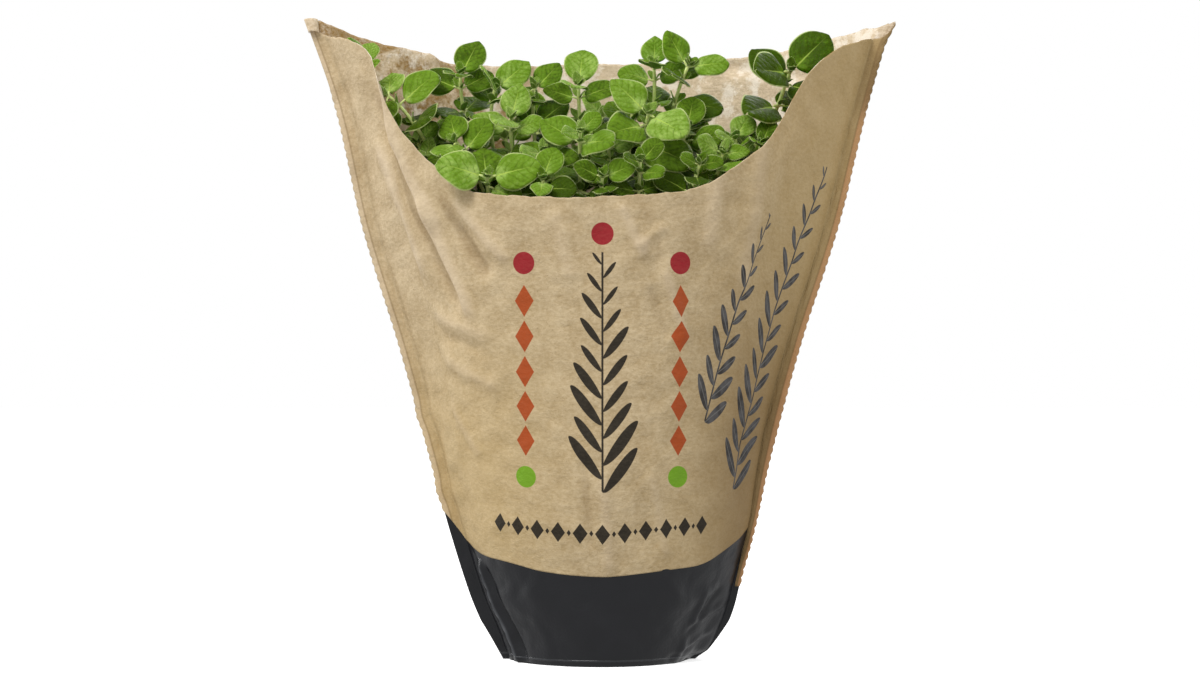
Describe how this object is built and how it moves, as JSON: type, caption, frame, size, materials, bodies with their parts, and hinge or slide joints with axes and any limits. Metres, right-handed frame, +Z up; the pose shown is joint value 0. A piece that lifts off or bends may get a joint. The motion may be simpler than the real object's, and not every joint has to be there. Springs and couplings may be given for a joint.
{
  "type": "potted oregano plant",
  "caption": "Oregano plant in a nursery pot, standing in a flared kraft paper sleeve with a scooped front and a black film base.",
  "frame": {"origin": "centre of the flat base that the sleeve stands on", "axes": "+Z up, -Y towards the open, scooped front of the sleeve, +X to the right as seen from the front"},
  "size_m": [0.2734, 0.1405, 0.299],
  "materials": {
    "kraft_paper": "matte brown kraft paper",
    "black_film": "crinkled black film, semi-gloss",
    "pot_plastic": "satin black",
    "potting_mix": "rough dark peat",
    "foliage": "matte green with fine hairs"
  },
  "bodies": {
    "root": {"sleeve_front": "kraft_paper", "sleeve_back": "kraft_paper", "sleeve_film_base": "black_film", "nursery_pot": "pot_plastic", "potting_mix": "potting_mix", "leafy_stem_01": "foliage", "leafy_stem_02": "foliage", "leafy_stem_03": "foliage", "leafy_stem_04": "foliage", "leafy_stem_05": "foliage", "leafy_stem_06": "foliage", "leafy_stem_07": "foliage", "leafy_stem_08": "foliage", "leafy_stem_09": "foliage", "leafy_stem_10": "foliage", "leafy_stem_11": "foliage", "leafy_stem_12": "foliage", "leafy_stem_13": "foliage", "leafy_stem_14": "foliage", "leafy_stem_15": "foliage", "leafy_stem_16": "foliage", "leafy_stem_17": "foliage", "leafy_stem_18": "foliage", "leafy_stem_19": "foliage", "leafy_stem_20": "foliage", "leafy_stem_21": "foliage", "leafy_stem_22": "foliage", "leafy_stem_23": "foliage", "leafy_stem_24": "foliage", "leafy_stem_25": "foliage", "leafy_stem_26": "foliage", "leafy_stem_27": "foliage", "leafy_stem_28": "foliage", "leafy_stem_29": "foliage", "leafy_stem_30": "foliage", "leafy_stem_31": "foliage", "leafy_stem_32": "foliage", "leafy_stem_33": "foliage", "leafy_stem_34": "foliage", "leafy_stem_35": "foliage", "leafy_stem_36": "foliage", "leafy_stem_37": "foliage"}
  },
  "joints": []
}
